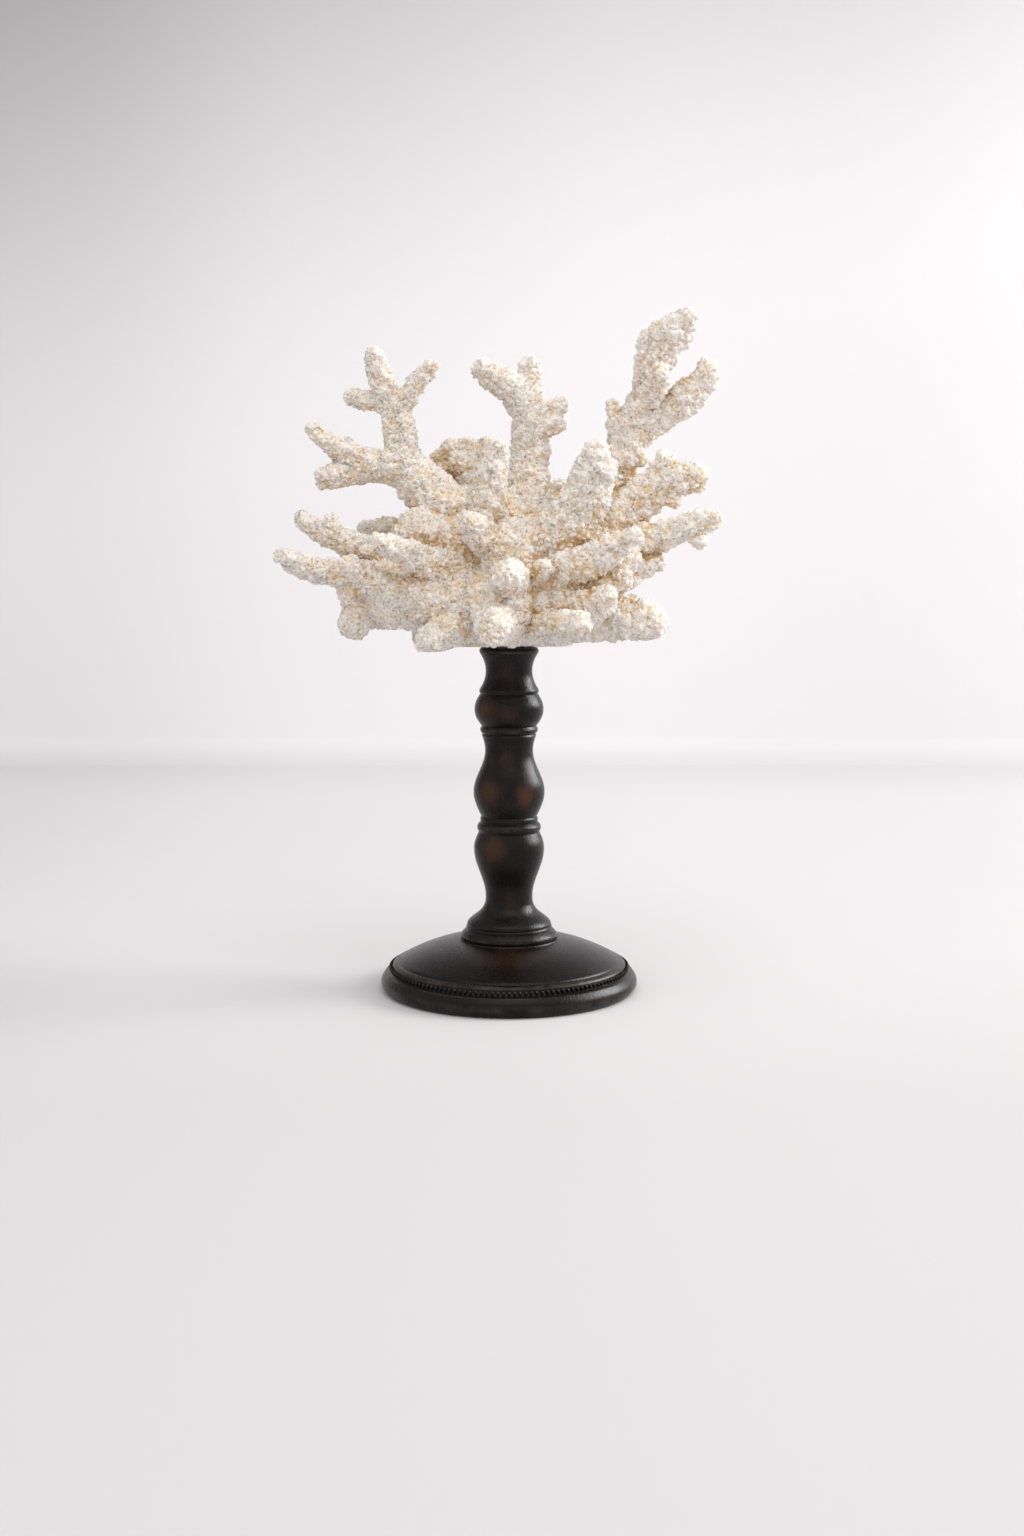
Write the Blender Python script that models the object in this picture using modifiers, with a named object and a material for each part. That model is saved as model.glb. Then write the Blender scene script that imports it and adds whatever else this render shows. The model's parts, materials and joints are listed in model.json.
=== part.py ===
"""A colony of white branching coral on a turned wooden stand.

The stand is a disc foot and a spindle column, both turned about +Z. The coral is
cut flat underneath and sits on the column's top. It grows here as one fused body
from a tree of limbs, and is then parted at its main forks.

Metres, +Z up, origin at the centre of the foot's underside, +Y away from the viewer.
"""

import math

import bmesh
import bpy
from mathutils import Matrix, Vector

MM = 0.001

# Driving sizes, in millimetres
COLUMN_TOP = 186.8
FOOT_TOP = 28.4
GAP = 0.3
SEAT = COLUMN_TOP + GAP

# Turning
COLUMN_STEPS = 28
FOOT_STEPS = 48
ARC_STEP = 4.2

# The coral's surface, in millimetres
VOXEL = 1.7
FORK_FILLET_PASSES = 5
LUMP_SIZE = 11.0
LUMP_HEIGHT = 3.4
LUMP_FLOOR = 0.32
CORAL_TRIANGLES = 4400
CORE_CENTRE = (0.0, 0.0, 30.0)
CORE_RADII = (44.0, 38.0, 25.0)

# Mouldings run down from the top. Each has its shape, the radius at its lower end, its
# drop, and how far an arc's middle stands out from its chord (negative for a cove).
COLUMN_TOP_RADIUS = 15.1
COLUMN_MOULDINGS = (
    ("line", 15.1, 0.8, 0.0),
    ("arc", 15.3, 3.2, 0.75),
    ("arc", 15.6, 18.6, -2.95),
    ("arc", 15.6, 2.4, 0.4),
    ("line", 15.4, 0.3, 0.0),
    ("arc", 14.7, 17.3, 3.5),
    ("line", 14.9, 0.4, 0.0),
    ("arc", 14.5, 3.6, 0.85),
    ("line", 14.3, 0.3, 0.0),
    ("arc", 14.3, 1.7, 0.4),
    ("rise", 12.9, 7.2, 0.0),
    ("ogee", 19.2, 22.6, 0.0),
    ("swell", 15.0, 13.2, 0.0),
    ("line", 15.4, 0.6, 0.0),
    ("arc", 15.4, 2.4, 0.2),
    ("arc", 16.4, 5.5, 1.35),
    ("line", 16.5, 0.3, 0.0),
    ("rise", 19.05, 8.7, 0.0),
    ("ogee", 12.7, 26.6, 0.0),
    ("flare", 19.0, 10.6, 0.0),
    ("rise", 22.9, 4.7, 0.0),
    ("line", 22.7, 0.4, 0.0),
    ("arc", 23.4, 1.4, 0.25),
    ("line", 23.2, 0.3, 0.0),
    ("rise", 26.2, 4.1, 0.0),
    ("line", 26.0, 0.9, 0.0),
)

FOOT_TOP_RADIUS = 27.3
FOOT_MOULDINGS = (
    ("line", 27.7, 0.5, 0.0),
    ("arc", 59.6, 11.3, 1.5),
    ("line", 60.2, 0.8, 0.0),
    ("arc", 63.4, 1.8, 0.5),
    ("line", 63.6, 0.8, 0.0),
    ("arc", 66.9, 2.8, -0.6),
    ("line", 67.6, 0.8, 0.0),
    ("arc", 66.0, 9.9, 2.9),
)

# Limbs of the coral. Each runs through stations of (across, back, up from the seat,
# radius), in millimetres, from inside the limb or core it grows from to its rounded tip.
LIMBS = {
    # Upper left: a thick trunk that divides into an upright and an arm
    "left_trunk": [(-18, 0, 49, 15), (-33, 2, 72, 13.5), (-48, 4, 87, 12.5), (-56, 5, 97, 10)],
    "upright": [(-55, 5, 95, 10), (-58, 5, 115, 7.9), (-60, 5, 126, 7.5)],
    "upright_tip": [(-60, 5, 124, 6.8), (-69, 2, 141, 6.1), (-70.5, 0, 152, 4.9)],
    "upright_spur": [(-60, 5, 125, 5.6), (-73, 8, 131, 5), (-83.5, 10, 131, 4.4)],
    "upright_twig": [(-59, 4, 125, 5.8), (-49, 0, 137, 4.8), (-41, -4, 146, 3.9)],
    "arm": [(-52, 5, 94, 10.5), (-66, 3, 95, 9), (-78, 0, 96, 8)],
    "arm_upper_tip": [(-76, 0, 96, 7), (-91, -3, 104, 5.8), (-103, -6, 113, 4)],
    "arm_lower_tip": [(-76, 1, 94, 7.5), (-88, 0, 91, 6.8), (-97, -4, 88, 5.4)],
    # Far left: a long limb with a stub, a lower limb beside it and one behind
    "far_left": [(-24, -4, 46, 13), (-59, -5, 47, 9.5), (-78, -8, 51, 8), (-91, -9, 56, 6.4),
                 (-102, -10, 62, 4.8), (-110, -10, 67.5, 3.6)],
    "far_left_stub": [(-88, -9, 55, 5), (-93, -13, 61, 4.6), (-94, -14, 66.5, 3.8)],
    "low_left": [(-50, -12, 34, 12), (-77, -18, 37, 8), (-93, -22, 39, 6.8), (-108, -25, 43, 5.8),
                 (-117, -28, 47.5, 4.4)],
    "behind_left": [(-40, 20, 52, 10), (-57, 30, 60, 6.8), (-69, 35, 63, 5.6), (-79, 38, 62.5, 4)],
    "front_left": [(-24, -20, 37, 12), (-43, -35, 45, 7.2), (-57, -47, 52, 5.6), (-66, -56, 56, 3.8)],
    "front_left_nub": [(-56, -28, 28, 10), (-70, -38, 36, 7), (-82, -47, 43.5, 5.4)],
    # The base plate's left end and its hanging lobe
    "plate_left": [(-20, -6, 22, 15), (-58, -14, 23, 12), (-78, -18, 20, 10.4), (-81, -20, 13, 8.2)],
    "plate_wall": [(-60, -16, 32, 9), (-81, -20, 29, 8.4)],
    "plate_shoulder": [(-22, -16, 34, 14), (-48, -22, 30, 11), (-64, -24, 26, 9)],
    "plate_swell": [(-6, -10, 30, 16), (-24, -26, 23, 13)],
    "plate_lobe": [(-18, -20, 16, 12), (-30, -32, 13, 9.5), (-40, -46, 5, 7)],
    # Nubs that point at the viewer
    "nub_high": [(2, -16, 31, 13), (0, -46, 37, 8.4), (-0.5, -62, 39.5, 6.8)],
    "nub_low": [(-3, -16, 16, 13), (-7, -50, 14, 9.4), (-8, -66, 13.5, 8.2)],
    "nub_left": [(-7, -14, 50, 11), (-16, -36, 61, 7.2), (-21.5, -48, 66, 5.6)],
    "nub_small": [(9, -28, 36, 8), (18, -44, 42, 3.2)],
    # Middle: a leaning limb in front, a knobbly cluster behind it and a tall limb
    "front_ridge": [(-6, -10, 44, 13), (-12, -18, 66, 10.2), (-11, -23, 82, 8.4), (-8, -27, 94, 6.4),
                    (-5, -29, 103, 4)],
    "cluster": [(-14, 12, 49, 14), (-20, 20, 71, 13), (-22, 24, 90, 12.4)],
    "cluster_knob_a": [(-25, 24, 90, 8), (-37, 24, 98.5, 5.4)],
    "cluster_knob_b": [(-25, 24, 90, 8), (-31, 23, 104, 5.4)],
    "cluster_knob_c": [(-24, 26, 90, 8), (-23, 30, 105.5, 5.6)],
    "cluster_knob_d": [(-20, 25, 90, 8), (-14, 25, 105, 5.4)],
    "cluster_knob_e": [(-20, 24, 88, 8), (-9, 23, 100, 5)],
    "cluster_knob_f": [(-23, 20, 88, 8), (-26, 12, 98, 4.8)],
    "cluster_knob_g": [(-24, 24, 91, 8), (-34, 22, 93, 6.2)],
    "middle": [(4, 2, 50, 15), (10, 8, 72, 12), (11, 12, 90, 10), (12, 14, 106, 8.8), (10, 13, 123, 8.2)],
    "middle_left_tip": [(10, 13, 123, 8), (3, 11, 135.5, 8), (-6, 8, 140.5, 7), (-14, 4, 145, 5.4)],
    "middle_up_tip": [(10, 13, 124, 8), (11, 16, 139, 7), (11, 18, 147.5, 5)],
    "middle_right_nub": [(12, 13, 120, 8), (21, 11, 122, 6.2), (27, 10, 127, 4.6)],
    "middle_right_knob": [(14, 12, 117, 8), (24.5, 8, 117, 4.8)],
    "middle_saddle": [(8, 0, 48, 15), (23, 0, 66, 13), (32, 4, 76, 7.5)],
    "middle_spur": [(20, 2, 62, 9), (25, 0, 76, 5.8), (27, -2, 83, 4)],
    # Right: a stout pointed limb in front and a tall forked one behind it
    "front_right": [(8, -8, 38, 14), (22, -18, 54, 13), (32, -23, 66, 12.4), (40, -27, 79, 12),
                    (45, -31, 92, 10.4), (45, -35, 100, 6.4)],
    "tall_right": [(28, 4, 52, 13), (46, 12, 72, 11), (55, 15, 85, 9.4), (61, 15, 100, 8.6), (68, 15, 118, 9)],
    "tall_right_stub": [(60, 15, 106, 6), (57, 15, 118, 4.6), (55.5, 16, 127.5, 3.2)],
    "tall_right_stem": [(67, 15, 116, 7.8), (73, 12, 133, 6.8), (76, 9, 148, 8.6), (80.5, 6, 159, 11.2),
                        (88.5, 3, 166.5, 9), (93, 1, 169.5, 6)],
    "tall_right_corner": [(80, 6, 157, 7), (75, 6, 161, 5.8)],
    "tall_right_knob": [(74, 10, 130, 5.6), (78, -1, 138, 5.2), (79, -8, 143.5, 4.6)],
    "tall_right_arm": [(66, 15, 112, 9), (80, 15, 122, 8.4), (91, 14, 128, 8.8), (100, 12, 135, 8.2),
                       (105, 10, 144, 5.8)],
    "tall_right_heel": [(60, 12, 96, 7), (69, 8, 100, 4.6)],
    "mid_right": [(24, 2, 44, 14), (43, 0, 57, 11.8), (60, 0, 68, 10.2), (72, 0, 80, 9.6), (85, -2, 88, 9.4),
                  (98, -4, 89, 6.6)],
    "mid_right_bump": [(80, -1, 87, 6.5), (82, -5, 97.5, 4.6)],
    "mid_right_heel": [(82, -2, 82, 6.5), (86, -4, 76.5, 4)],
    "long_right": [(24, -4, 38, 13), (43, -5, 46, 10.4), (67, -8, 54, 8.4), (83, -10, 59, 6.6), (94, -12, 63, 6),
                   (106, -14, 66.5, 4.8)],
    "long_right_bump": [(94, -12, 62, 4.5), (100, -15, 56.5, 3.4)],
    "right_ledge": [(36, -6, 38, 11), (56, -10, 41, 8.4), (76, -9, 44, 5.4)],
    "right_ledge_low": [(36, -8, 34, 10), (64, -12, 36, 5.2)],
    "right_ridge": [(12, -20, 34, 12), (27, -30, 40, 9), (40, -38, 45, 8.4), (54, -44, 52, 6.6), (64, -48, 58.5, 3.8)],
    "right_shelf": [(14, -14, 30, 14), (38, -24, 33, 9.4), (58, -26, 36, 6.4)],
    "low_right": [(8, 0, 16, 15), (28, -6, 15, 12), (46, -10, 14, 10.6), (63, -14, 15, 11), (73, -16, 13, 9.2)],
    "low_right_twig": [(10, -20, 13, 10), (24, -42, 12, 7), (36, -61, 15, 5)],
    "low_right_spur": [(20, -22, 19, 9), (37, -36, 23, 6.4), (50, -47, 28.5, 4.4)],
    # Behind
    "back_left": [(-10, 14, 34, 14), (-32, 38, 38, 10.4), (-50, 54, 44, 8), (-68, 72, 51, 5.2)],
    "back_left_twig": [(-42, 47, 41, 7), (-46, 64, 50, 5.8), (-45, 78, 57, 4.4)],
    "back_left_high": [(-30, 10, 64, 10), (-44, 28, 78, 7.6), (-53, 40, 87, 6), (-58, 50, 96, 4.4)],
    "back_left_low": [(-10, 12, 20, 14), (-34, 34, 15, 10.6), (-50, 50, 15, 8), (-63, 63, 19, 5.4)],
    "back_middle": [(0, 16, 38, 14), (3, 42, 48, 10.6), (6, 62, 57, 8.4), (10, 88, 72, 5.4)],
    "back_middle_twig": [(4, 56, 54, 7.5), (-5, 66, 70, 6), (-9, 72, 81, 4.4)],
    "back_middle_spur": [(8, 72, 62, 6), (20, 84, 61, 4.2)],
    "back_middle_low": [(0, 14, 20, 14), (4, 44, 16, 10), (8, 66, 17, 7.6), (8, 82, 24, 5)],
    "back_tall": [(10, 18, 60, 10), (12, 36, 82, 8), (13, 48, 100, 6.6), (12, 58, 114, 4.8)],
    "back_right": [(14, 14, 36, 14), (32, 38, 48, 10.2), (48, 53, 56, 8), (68, 68, 72, 5)],
    "back_right_twig": [(42, 48, 53, 7), (44, 64, 59, 5.8), (40, 78, 66, 4.4)],
    "back_right_high": [(34, 12, 62, 9), (44, 30, 76, 7.2), (49, 42, 86, 5.8), (52, 51, 94, 4.4)],
    "back_right_low": [(12, 12, 20, 14), (34, 30, 16, 11), (50, 44, 16, 8.4), (67, 58, 20, 5.6)],
    # The grown-together middle, which the limbs stand out of
    "mass_cluster": [(-14, 0, 46, 17), (-21, 4, 62, 15), (-26, 3, 71, 12)],
    "mass_behind_cluster": [(-14, 8, 56, 15), (-27, 15, 67, 12), (-33, 17, 73, 9)],
    "mass_middle": [(0, 0, 56, 14), (-2, 4, 73, 10)],
    "mass_left_high": [(-12, -6, 44, 20), (-32, -8, 51, 16.5), (-46, -6, 60, 13)],
    "mass_left_low": [(-8, -16, 24, 20), (-36, -24, 27, 17.5), (-60, -25, 25, 13.5)],
    "mass_front_high": [(4, -8, 46, 21), (1, -22, 50, 17)],
    "mass_front_low": [(0, -14, 22, 22), (-4, -31, 22, 17)],
    "mass_right_high": [(12, -8, 44, 21), (36, -14, 47, 17.5), (55, -17, 47, 13)],
    "mass_right_low": [(10, -16, 24, 21), (32, -25, 23, 15), (45, -23, 25, 11)],
    "mass_behind_right": [(24, 2, 52, 15), (40, 4, 62, 14), (50, 6, 70, 11)],
    "mass_right_shelf": [(30, -10, 34, 15), (46, -14, 37, 13), (56, -12, 42, 8.4)],
    # The underside: a ledge that the flat seat is cut from
    "seat_ledge": [(-50, 2, 11, 10), (-28, 2, 9, 13), (0, 2, 8, 15), (22, 2, 10, 12.5), (38, 2, 14, 9.5)],
}

# The main forks, where the coral is parted: the piece's name, the limb that is cut,
# how far along its run, and the radius of the cut in millimetres.
FORKS = (
    ("branch_upright_left", "upright", 0.42, 11.5),
    ("branch_arm_left", "arm", 0.66, 11.5),
    ("branch_far_left", "far_left", 0.66, 10.0),
    ("branch_low_left", "low_left", 0.66, 9.5),
    ("branch_front_left", "front_left", 0.50, 9.5),
    ("branch_front_ridge", "front_ridge", 0.54, 12.5),
    ("cluster_behind", "cluster", 0.88, 15.5),
    ("branch_middle", "middle", 0.50, 13.0),
    ("branch_front_right", "front_right", 0.60, 15.5),
    ("branch_tall_right", "tall_right", 0.61, 13.0),
    ("branch_mid_right", "mid_right", 0.64, 13.0),
    ("branch_long_right", "long_right", 0.68, 10.5),
    ("branch_low_right", "low_right", 0.79, 15.0),
    ("branch_back_left", "back_left", 0.46, 12.5),
    ("branch_back_middle", "back_middle", 0.46, 12.0),
    ("branch_back_right", "back_right", 0.48, 12.0),
    ("fork_upper_left", "left_trunk", 0.72, 15.5),
    ("branch_behind_left", "behind_left", 0.40, 10.5),
    ("branch_back_left_high", "back_left_high", 0.44, 10.5),
    ("branch_back_left_low", "back_left_low", 0.50, 13.0),
    ("branch_back_middle_high", "back_tall", 0.38, 11.0),
    ("branch_back_middle_low", "back_middle_low", 0.42, 14.0),
    ("branch_back_right_high", "back_right_high", 0.54, 9.5),
    ("branch_back_right_low", "back_right_low", 0.42, 14.0),
    ("branch_front_right_low", "right_ridge", 0.66, 11.0),
    ("nub_front_high", "nub_high", 0.78, 12.5),
    ("nub_front_low", "nub_low", 0.74, 13.0),
    ("nub_front_left", "front_left_nub", 0.42, 10.5),
    ("lobe_front_left", "plate_lobe", 0.79, 11.0),
)
PROBE_PAST_CUT = 4.0


def eased(shape, share):
    """How much of a moulding's change of radius is done a share of the way down it."""
    if shape == "ogee":
        return (1 - math.cos(math.pi * share)) / 2
    if shape == "swell":
        return 1 - math.cos(share * math.pi / 2)
    if shape == "rise":
        return math.sin(share * math.pi / 2)
    if shape == "flare":
        return share**2.5
    return share


def run_down(radius, height, mouldings):
    """A profile's points, as (radius, height), from its top edge down its mouldings."""
    points = [Vector((radius, height))]
    for shape, end_radius, drop, bulge in mouldings:
        start = points[-1]
        chord = Vector((end_radius - start.x, -drop))
        outward = Vector((drop, chord.x)).normalized()
        count = 1 if shape == "line" else min(5, max(2, round(chord.length / ARC_STEP)))
        for i in range(1, count + 1):
            share = i / count
            on_chord = Vector((start.x + chord.x * eased(shape, share), start.y - drop * share))
            points.append(on_chord + outward * 4 * bulge * share * (1 - share))
    return [tuple(point) for point in points]


def clear_scene():
    for obj in list(bpy.data.objects):
        bpy.data.objects.remove(obj)


def collection(name):
    made = bpy.data.collections.new(name)
    bpy.context.scene.collection.children.link(made)
    return made


def finish(name, colour, roughness):
    """A plain non-metal finish."""
    material = bpy.data.materials.new(name)
    material.use_nodes = True
    shader = material.node_tree.nodes["Principled BSDF"]
    shader.inputs["Base Color"].default_value = (*colour, 1.0)
    shader.inputs["Roughness"].default_value = roughness
    return material


def add_object(name, mesh, group):
    obj = bpy.data.objects.new(name, mesh)
    group.objects.link(obj)
    return obj


def add_turned(name, profile, steps, group, material):
    """A solid turned about +Z from a profile that runs from axis to axis, top to bottom."""
    shape = bmesh.new()
    points = [shape.verts.new((radius * MM, 0, height * MM)) for radius, height in profile]
    for upper, lower in zip(points, points[1:]):
        shape.edges.new((upper, lower))
    mesh = bpy.data.meshes.new(name)
    shape.to_mesh(mesh)
    shape.free()
    mesh.materials.append(material)
    screw = add_object(name, mesh, group).modifiers.new("Turn", "SCREW")
    screw.steps = screw.render_steps = steps
    screw.use_merge_vertices = True
    screw.merge_threshold = 0.00001
    screw.use_smooth_shade = True


def add_stand(group):
    wood = finish("dark stained wood", (0.035, 0.022, 0.016), 0.38)
    column = run_down(COLUMN_TOP_RADIUS, COLUMN_TOP, COLUMN_MOULDINGS)
    column_bottom = FOOT_TOP + GAP
    column[-1] = (column[-1][0], column_bottom)
    add_turned("stand_column", [(0, COLUMN_TOP), *column, (0, column_bottom)], COLUMN_STEPS, group, wood)
    foot = run_down(FOOT_TOP_RADIUS, FOOT_TOP, FOOT_MOULDINGS)
    foot[-1] = (foot[-1][0], 0)
    add_turned("stand_foot", [(0, FOOT_TOP), *foot, (0, 0)], FOOT_STEPS, group, wood)


def from_seat(across, back, up):
    """A point in metres, from its place in millimetres about the seat's centre."""
    return Vector((across, back, up + SEAT)) * MM


def along(stations, share):
    """The point and direction a share of the way along a limb's run."""
    points = [from_seat(*station[:3]) for station in stations]
    lengths = [(b - a).length for a, b in zip(points, points[1:])]
    left = share * sum(lengths)
    for start, end, length in zip(points, points[1:], lengths):
        if left <= length:
            break
        left -= length
    direction = (end - start).normalized()
    return start + direction * left, direction


def evaluated_mesh(obj):
    bpy.context.view_layer.update()
    return bpy.data.meshes.new_from_object(obj.evaluated_get(bpy.context.evaluated_depsgraph_get()))


def limb_mesh(stations, group):
    """A limb's tube as a closed mesh, as thick at each station as it says."""
    curve = bpy.data.curves.new("limb", "CURVE")
    curve.dimensions = "3D"
    curve.bevel_depth = MM
    curve.bevel_resolution = 3
    curve.use_fill_caps = True
    spline = curve.splines.new("NURBS")
    spline.points.add(len(stations) - 1)
    for point, station in zip(spline.points, stations):
        point.co = (*from_seat(*station[:3]), 1.0)
        point.radius = station[3]
    spline.order_u = 3
    spline.use_endpoint_u = True
    obj = add_object("limb", curve, group)
    mesh = evaluated_mesh(obj)
    bpy.data.objects.remove(obj)
    return mesh


def grow_colony(group):
    """Every limb, its rounded tip and the core, overlapping in one mesh."""
    shape = bmesh.new()
    for stations in LIMBS.values():
        shape.from_mesh(limb_mesh(stations, group))
        tip = Matrix.Translation(from_seat(*stations[-1][:3]))
        bmesh.ops.create_icosphere(shape, subdivisions=2, radius=stations[-1][3] * MM, matrix=tip)
    stretch = Matrix.Diagonal((*(radius * MM for radius in CORE_RADII), 1))
    core = Matrix.Translation(from_seat(*CORE_CENTRE)) @ stretch
    bmesh.ops.create_uvsphere(shape, u_segments=32, v_segments=20, radius=1.0, matrix=core)
    bmesh.ops.remove_doubles(shape, verts=shape.verts, dist=0.00001)
    mesh = bpy.data.meshes.new("colony")
    shape.to_mesh(mesh)
    shape.free()
    return add_object("colony", mesh, group)


def apply_modifiers(obj):
    mesh = evaluated_mesh(obj)
    obj.modifiers.clear()
    obj.data = mesh


def fuse(colony):
    """Joins the limbs in one skin with filleted forks and soft lumps, in few triangles."""
    remesh = colony.modifiers.new("Fuse", "REMESH")
    remesh.mode = "VOXEL"
    remesh.voxel_size = VOXEL * MM
    fillet = colony.modifiers.new("Fillet", "SMOOTH")
    fillet.iterations = FORK_FILLET_PASSES
    lumps = bpy.data.textures.new("lumps", "CLOUDS")
    lumps.noise_scale = LUMP_SIZE * MM
    lumps.noise_depth = 1
    swell = colony.modifiers.new("Lumps", "DISPLACE")
    swell.texture = lumps
    swell.strength = LUMP_HEIGHT * MM
    swell.mid_level = LUMP_FLOOR
    apply_modifiers(colony)
    colony.data.calc_loop_triangles()
    thin = colony.modifiers.new("Thin", "DECIMATE")
    thin.ratio = CORAL_TRIANGLES / len(colony.data.loop_triangles)
    thin.use_collapse_triangulate = True
    apply_modifiers(colony)


def cut_seat(colony):
    """Cuts the coral off flat where it sits on the column."""
    shape = bmesh.new()
    shape.from_mesh(colony.data)
    whole = [*shape.verts, *shape.edges, *shape.faces]
    cut = bmesh.ops.bisect_plane(
        shape, geom=whole, plane_co=from_seat(0, 0, 0), plane_no=(0, 0, 1), clear_inner=True
    )
    rim = [item for item in cut["geom_cut"] if isinstance(item, bmesh.types.BMEdge)]
    bmesh.ops.edgeloop_fill(shape, edges=rim)
    bmesh.ops.recalc_face_normals(shape, faces=shape.faces)
    shape.to_mesh(colony.data)
    shape.free()


def saw_blades(group):
    """A thin disc across the limb at each main fork."""
    shape = bmesh.new()
    for _, limb, share, radius in FORKS:
        centre, direction = along(LIMBS[limb], share)
        place = Matrix.Translation(centre) @ direction.to_track_quat("Z", "Y").to_matrix().to_4x4()
        bmesh.ops.create_cone(
            shape, cap_ends=True, segments=24, radius1=radius * MM, radius2=radius * MM, depth=GAP * MM, matrix=place
        )
    mesh = bpy.data.meshes.new("saw_blades")
    shape.to_mesh(mesh)
    shape.free()
    blades = add_object("saw_blades", mesh, group)
    blades.hide_render = True
    blades.display_type = "WIRE"
    return blades


def part_at_forks(colony, blades, group):
    """Cuts the coral at its main forks, and makes each part its own named object."""
    saw = colony.modifiers.new("Part", "BOOLEAN")
    saw.operation = "DIFFERENCE"
    saw.solver = "EXACT"
    saw.object = blades
    apply_modifiers(colony)
    for obj in bpy.context.view_layer.objects:
        obj.select_set(obj is colony)
    bpy.context.view_layer.objects.active = colony
    bpy.ops.object.mode_set(mode="EDIT")
    bpy.ops.mesh.select_all(action="SELECT")
    bpy.ops.mesh.separate(type="LOOSE")
    bpy.ops.object.mode_set(mode="OBJECT")
    parts = [obj for obj in group.objects if obj.name.startswith("colony")]
    for name, limb, share, _ in FORKS:
        centre, direction = along(LIMBS[limb], share)
        probe = centre + direction * PROBE_PAST_CUT * MM
        nearest = min(parts, key=lambda obj: (obj.closest_point_on_mesh(probe)[1] - probe).length)
        nearest.name = name
        parts.remove(nearest)
    parts[0].name = "coral_trunk"


def add_coral(group, guides):
    colony = grow_colony(group)
    fuse(colony)
    cut_seat(colony)
    colony.data.materials.append(finish("bleached coral", (0.84, 0.79, 0.70), 0.85))
    part_at_forks(colony, saw_blades(guides), group)


def main():
    clear_scene()
    group = collection("branching coral on a stand")
    guides = collection("cutters")
    add_stand(group)
    add_coral(group, guides)


if __name__ == "__main__":
    main()
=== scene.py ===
"""The looks of a white branching coral on its turned wooden stand.

The coral is grown again from the limbs of its solids, much finer, then crusted with
nodules, pitted with pores, and parted at the same forks. The stand is turned again from
the same mouldings, and gets its row of beads.

Metres, +Z up, origin at the centre of the foot's underside, +Y away from the viewer.
"""

import itertools
import json
import math

import bmesh
import bpy
import numpy as np
from mathutils import Matrix, Vector
from mathutils.bvhtree import BVHTree

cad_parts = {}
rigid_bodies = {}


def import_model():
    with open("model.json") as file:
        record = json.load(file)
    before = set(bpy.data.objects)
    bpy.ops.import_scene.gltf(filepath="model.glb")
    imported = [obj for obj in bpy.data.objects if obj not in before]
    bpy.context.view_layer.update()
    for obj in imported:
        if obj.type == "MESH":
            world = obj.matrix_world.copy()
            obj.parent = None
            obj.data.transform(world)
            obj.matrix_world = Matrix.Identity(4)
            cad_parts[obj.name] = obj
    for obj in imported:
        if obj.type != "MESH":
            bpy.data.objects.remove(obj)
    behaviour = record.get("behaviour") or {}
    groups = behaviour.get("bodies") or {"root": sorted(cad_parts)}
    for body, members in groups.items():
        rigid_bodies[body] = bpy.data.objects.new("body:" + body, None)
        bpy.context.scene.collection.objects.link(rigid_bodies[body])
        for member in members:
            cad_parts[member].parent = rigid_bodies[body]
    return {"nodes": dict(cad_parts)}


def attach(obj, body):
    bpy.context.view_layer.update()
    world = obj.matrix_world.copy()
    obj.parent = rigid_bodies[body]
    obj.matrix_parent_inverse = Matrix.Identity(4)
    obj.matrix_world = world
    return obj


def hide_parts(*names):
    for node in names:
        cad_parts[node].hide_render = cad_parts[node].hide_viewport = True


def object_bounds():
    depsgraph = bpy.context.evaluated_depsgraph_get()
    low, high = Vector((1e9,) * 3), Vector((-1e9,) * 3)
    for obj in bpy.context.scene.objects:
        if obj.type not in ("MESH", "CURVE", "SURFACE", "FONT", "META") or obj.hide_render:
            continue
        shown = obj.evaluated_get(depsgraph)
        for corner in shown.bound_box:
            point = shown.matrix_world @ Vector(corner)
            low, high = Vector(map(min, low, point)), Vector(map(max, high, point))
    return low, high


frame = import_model()
cad_box = [list(corner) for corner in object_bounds()]

MM = 0.001

# Driving sizes, in millimetres
COLUMN_TOP = 186.8
FOOT_TOP = 28.4
GAP = 0.3
SEAT = COLUMN_TOP + GAP

# Turning: steps round each piece, the step along a moulding in millimetres, the angle in
# degrees from which an edge stays crisp, and what is painted pale as an edge, for wear and
# a painted highlight: a place that stands this much out of the profile this far to either
# side of it, in millimetres
COLUMN_STEPS = 112
FOOT_STEPS = 176
ARC_STEP = 0.9
CRISP_EDGE = 38
EDGE_WINDOW = 1.3
EDGE_HEIGHT = 0.42

# The coral's skin, in millimetres
VOXEL = 0.65
FORK_FILLET_PASSES = 34
LUMP_SIZE = 11.0
LUMP_HEIGHT = 3.4
LUMP_FLOOR = 0.32
CORE_CENTRE = (0.0, 0.0, 30.0)
CORE_RADII = (44.0, 38.0, 25.0)

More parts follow.
